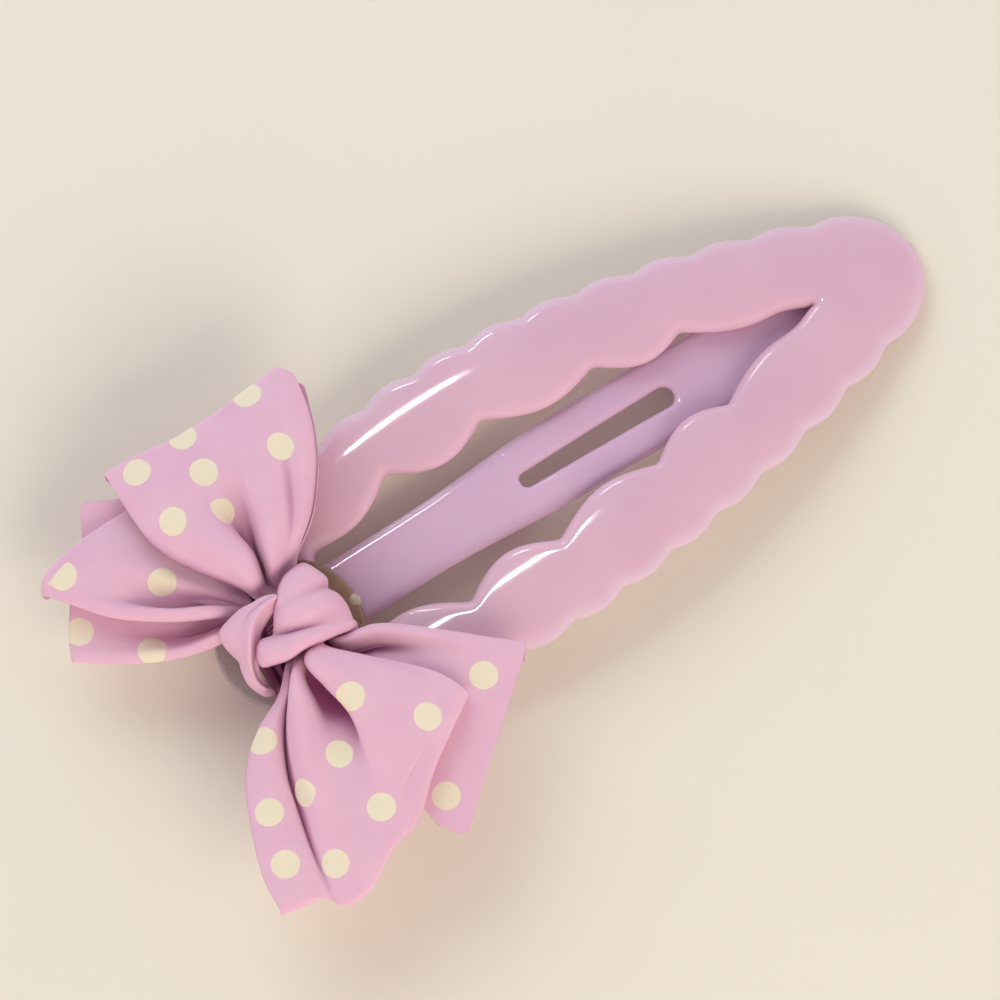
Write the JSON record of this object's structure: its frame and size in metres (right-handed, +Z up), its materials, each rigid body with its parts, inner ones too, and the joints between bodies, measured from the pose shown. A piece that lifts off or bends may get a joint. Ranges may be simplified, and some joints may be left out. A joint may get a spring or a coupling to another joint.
{
  "type": "hair bow clip",
  "caption": "Scalloped, glossy-coated snap hair clip with a dotted ribbon bow glued on its wide end; its springy side legs swing up off the tongue to take hair.",
  "frame": {"origin": "on the small flat under the heel, at the clip's centre line, where the clip rests on a table", "axes": "+X from the heel to the tip, +Y across the clip towards the upper loop, +Z up from the table"},
  "size_m": [0.0921, 0.0479, 0.0144],
  "materials": {
    "enamel": "thick glossy lilac-pink coat",
    "spring_steel": "stamped spring steel, sealed in the coat",
    "pad": "smoky translucent pad",
    "glue": "clear hot glue",
    "dotted_ribbon": "matte satin ribbon, pink with cream dots",
    "plain_ribbon": "matte satin ribbon, pink",
    "thread": "pink polyester thread"
  },
  "bodies": {
    "heel": {"heel_and_tongue_enamel": "enamel", "heel_and_tongue_steel": "spring_steel", "mounting_pad": "pad", "glue_bead": "glue", "upper_loop": "dotted_ribbon", "lower_loop": "dotted_ribbon", "left_tail_upper": "dotted_ribbon", "left_tail_lower": "dotted_ribbon", "right_tail": "dotted_ribbon", "knot_band": "plain_ribbon", "binding_thread": "thread"},
    "legs": {"side_legs_enamel": "enamel", "side_legs_steel": "spring_steel"}
  },
  "joints": [
    {"name": "snap_open", "type": "hinge", "parent": "heel", "child": "legs", "pos_m": [0.015, 0, 0.0034], "axis": [0, -1, 0], "range_deg": [0, 12]}
  ]
}
